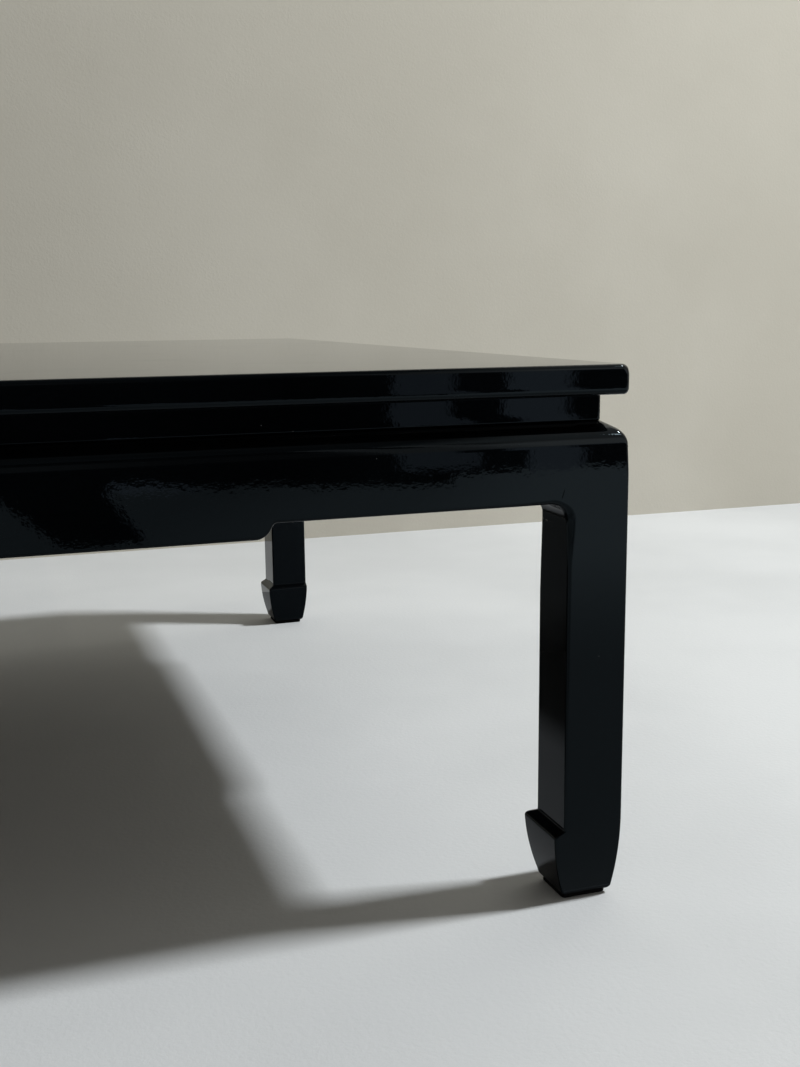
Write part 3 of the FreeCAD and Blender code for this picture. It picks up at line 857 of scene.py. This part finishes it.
def screen_glow():
    """Painted reflection, glowing though it is no lamp: dark, with two lit openings, a pale band along the
    floor, and light growing to the right higher up.
    """
    f = Finish("screen_glow")
    across, _, up = f.xyz()

    def past(place, low_place, soft):
        """1 to the right of an upright edge, which stands elsewhere close to the floor."""
        edge = f.ramp(up, 0.08, 0.14, low_place, place)
        return f.ramp(f.math("SUBTRACT", across, edge), -soft, soft)

    def opening(edges, strength):
        return f.math("MULTIPLY", f.math("SUBTRACT", past(*edges[0]), past(*edges[1])), strength)

    first = opening(FIRST_OPENING, f.ramp(up, 0.012, 0.026, 0.0, FIRST_STRENGTH))
    second = opening(SECOND_OPENING, SECOND_STRENGTH)
    over_band = f.math("SUBTRACT", up, f.ramp(across, 0.40, 0.75, 0.02, -0.01))
    band = f.math("MULTIPLY", past(*BAND_START), f.ramp(over_band, -0.006, 0.006, BAND_STRENGTH, 0.0))
    to_right = f.math("ADD", f.ramp(across, 0.2, 0.6, 0.3, 0.12), f.ramp(across, 0.95, 1.25, 0.0, 0.75))
    to_right = f.math("ADD", to_right, f.ramp(across, 1.3, 1.65, 0.0, 1.4))
    higher = f.math("MULTIPLY", f.ramp(up, 0.45, 0.85), f.ramp(up, 1.8, 2.6, 1.0, 0.45))
    higher = f.math("MULTIPLY", higher, to_right)
    shade = f.math("MULTIPLY", f.ramp(up, 1.7, 2.3), f.ramp(across, 1.5, 1.9, 1.0, 0.0))
    higher = f.math("MULTIPLY", higher, f.math("SUBTRACT", 1.0, shade))
    lit = f.math("MULTIPLY", f.noise(1.3), f.ramp(across, 0.8, 1.3, 0.035, 0.13))
    for part in (first, second, band, higher):
        lit = f.math("MAXIMUM", lit, part)
    tint = f.mix(f.ramp(up, 0.4, 0.9), (0.52, 0.54, 0.60, 1), (0.62, 0.57, 0.53, 1))
    return f.show(f.glow(tint, lit))


def pale_glow():
    """Painted floor reflection with painted shade: dim near the table and to the left, paler farther out to
    the right, and clear at its left end.
    """
    f = Finish("pale_glow")
    across, along, _ = f.xyz()
    slant = f.math("ADD", across, f.math("MULTIPLY", f.math("ADD", along, 2.4), 0.6))
    to_right = f.math("ADD", f.ramp(slant, 0.35, 0.95, 0.56, 0.85), f.ramp(slant, 0.95, 1.4, 0.0, 0.52))
    outwards = f.math("ADD", f.ramp(along, -1.8, -1.0, 0.34, 0.0), f.ramp(along, -1.8, -0.6, 0.40, 0.31))
    glow = f.glow((0.96, 1.0, 1.0, 1), f.math("MULTIPLY", outwards, to_right))
    return f.show(f.change(f.ramp(across, -0.6, 0.1), f.clear(), glow))


def painted_shade_sheet():
    """Painted shade in reflections: halves what the gloss sees through it, and clears to the right."""
    f = Finish("painted_shade_sheet")
    across = f.xyz()[0]
    tint = f.mix(f.ramp(across, 0.66, 0.82), (0.48, 0.48, 0.49, 1), (1, 1, 1, 1))
    return f.show(f.clear(tint))


def dim_glow(name, strength, axis=0, clear_at=None, full_at=None):
    """A faint uneven glow for painted reflections; it may fade in along x or y, from clear to full."""
    f = Finish(name)
    uneven = f.ramp(f.noise(1.1), 0.2, 0.8, strength * 0.7, strength * 1.3)
    glow = f.glow((0.95, 1.0, 1.0, 1), uneven)
    if clear_at is not None:
        glow = f.change(f.ramp(f.xyz()[axis], clear_at, full_at), f.clear(), glow)
    return f.show(glow)


def floor_card(name, outline, layer, material):
    """Cards on the floor lie in layers, so that none meets another."""
    return gloss_card(name, level(outline, layer * CARD_LAYER), material)


screen_finish = screen_glow()
screen_outline = oblong((-SCREEN_HALF, 0), (SCREEN_HALF, CARD_TOP))
gloss_card("dark_screen", upright(screen_outline, SCREEN_Y), screen_finish)
# Painted reflection: a dim card overhead, clearing to the right, sets how dark the lacquer looks where it
# reflects what is above
gloss_card("dark_upper_card", level(UPPER_CARD, CARD_TOP), dim_glow("upper_glow", 0.1, 0, 1.78, 1.3))
# Painted highlight: a bright card, no lamp, paints a glint into the lacquer's reflection
gloss_card("glint_card", level(GLINT, CARD_TOP - GLINT_DROP), dim_glow("glint_glow", 14.0))
# Painted floor reflection in front of the table, seen only in the lacquer
floor_card("pale_in_front", PALE_IN_FRONT, 3, pale_glow())
# Painted shade: a dark strip on the floor, in the screen's finish, paints a dark band into the lacquer's
# reflection
floor_card("dark_strip", DARK_STRIP, 4, screen_finish)
# Painted shade: a near-black wedge on the floor paints a dark patch into the lacquer's reflection
floor_card("dark_wedge", DARK_WEDGE, 4, dim_glow("wedge_glow", 0.02))
# Painted shade: a clear sheet below the table halves the floor seen in the lacquer
floor_card("painted_shade_below", PAINTED_SHADE_BELOW, 5, painted_shade_sheet())
# Painted shade: a dim glowing card behind the table darkens the floor seen in the lacquer there
floor_card("painted_shade_behind", PAINTED_SHADE_BEHIND, 6, dim_glow("painted_shade_glow", 0.09, 1, 0.15, 0.5))


# Even fill light on the table, and a pale surround where the camera, gloss or glass sees past the sheets

FILL_TINT = (0.66, 0.64, 0.58, 1)
FILL_STRENGTH = 0.29
SURROUND_TINT = (0.62, 0.61, 0.58, 1)

world = bpy.data.worlds.new("studio")
world.use_nodes = True
bpy.context.scene.world = world
sky = world.node_tree
fill = sky.nodes["Background"]
fill.inputs["Color"].default_value = FILL_TINT
fill.inputs["Strength"].default_value = FILL_STRENGTH
pale = sky.nodes.new("ShaderNodeBackground")
pale.inputs["Color"].default_value = SURROUND_TINT
rays = sky.nodes.new("ShaderNodeLightPath")
seen = rays.outputs["Is Camera Ray"]
for kind in ("Is Glossy Ray", "Is Transmission Ray"):
    either = sky.nodes.new("ShaderNodeMath")
    either.operation = "MAXIMUM"
    sky.links.new(seen, either.inputs[0])
    sky.links.new(rays.outputs[kind], either.inputs[1])
    seen = either.outputs[0]
choose = sky.nodes.new("ShaderNodeMixShader")
for socket, value in zip(choose.inputs, (seen, fill.outputs[0], pale.outputs[0])):
    sky.links.new(value, socket)
sky.links.new(choose.outputs[0], sky.nodes["World Output"].inputs["Surface"])
bpy.context.scene.view_settings.view_transform = "Standard"
